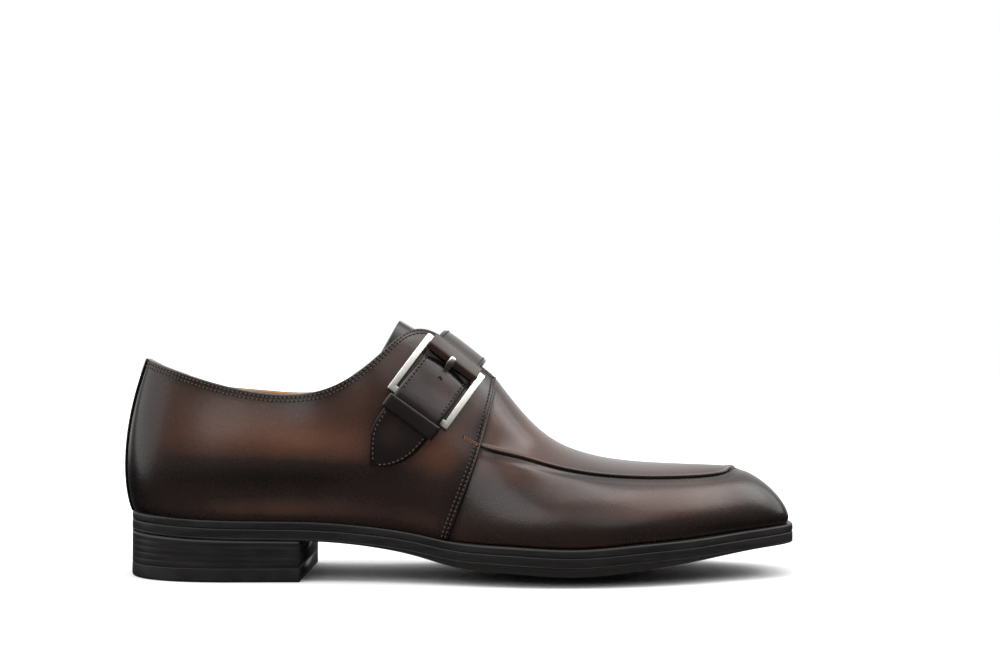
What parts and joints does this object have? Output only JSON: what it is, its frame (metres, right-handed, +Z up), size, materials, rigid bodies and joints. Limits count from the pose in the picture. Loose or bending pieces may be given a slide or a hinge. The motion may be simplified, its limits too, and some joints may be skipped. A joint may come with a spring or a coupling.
{
  "type": "monk strap shoe",
  "caption": "Right-foot leather monk strap shoe with an apron front, a chiselled toe, a buckled strap over the instep and a stacked heel.",
  "frame": {"origin": "middle of the shoe's bounding box, on the floor that it stands on", "axes": "+X to the toe, +Y to the inner (medial) side, +Z up"},
  "size_m": [0.3052, 0.1044, 0.1136],
  "materials": {
    "upper_leather": "polished dark brown with a burnished patina",
    "strap_leather": "polished dark brown, black at its edges",
    "lining": "matt tan lining leather",
    "sole_edge": "waxed near-black edge",
    "heel_rubber": "satin black rubber",
    "buckle_metal": "bright satin nickel"
  },
  "bodies": {
    "root": {"upper": "upper_leather", "tongue": "upper_leather", "heel_strip": "upper_leather", "strap": "strap_leather", "strap_keeper": "strap_leather", "bar_wrap": "strap_leather", "insole": "lining", "outsole": "sole_edge", "welt": "sole_edge", "heel_stack": "sole_edge", "heel_top_lift": "heel_rubber", "buckle_frame": "buckle_metal", "buckle_prong": "buckle_metal"}
  },
  "joints": []
}
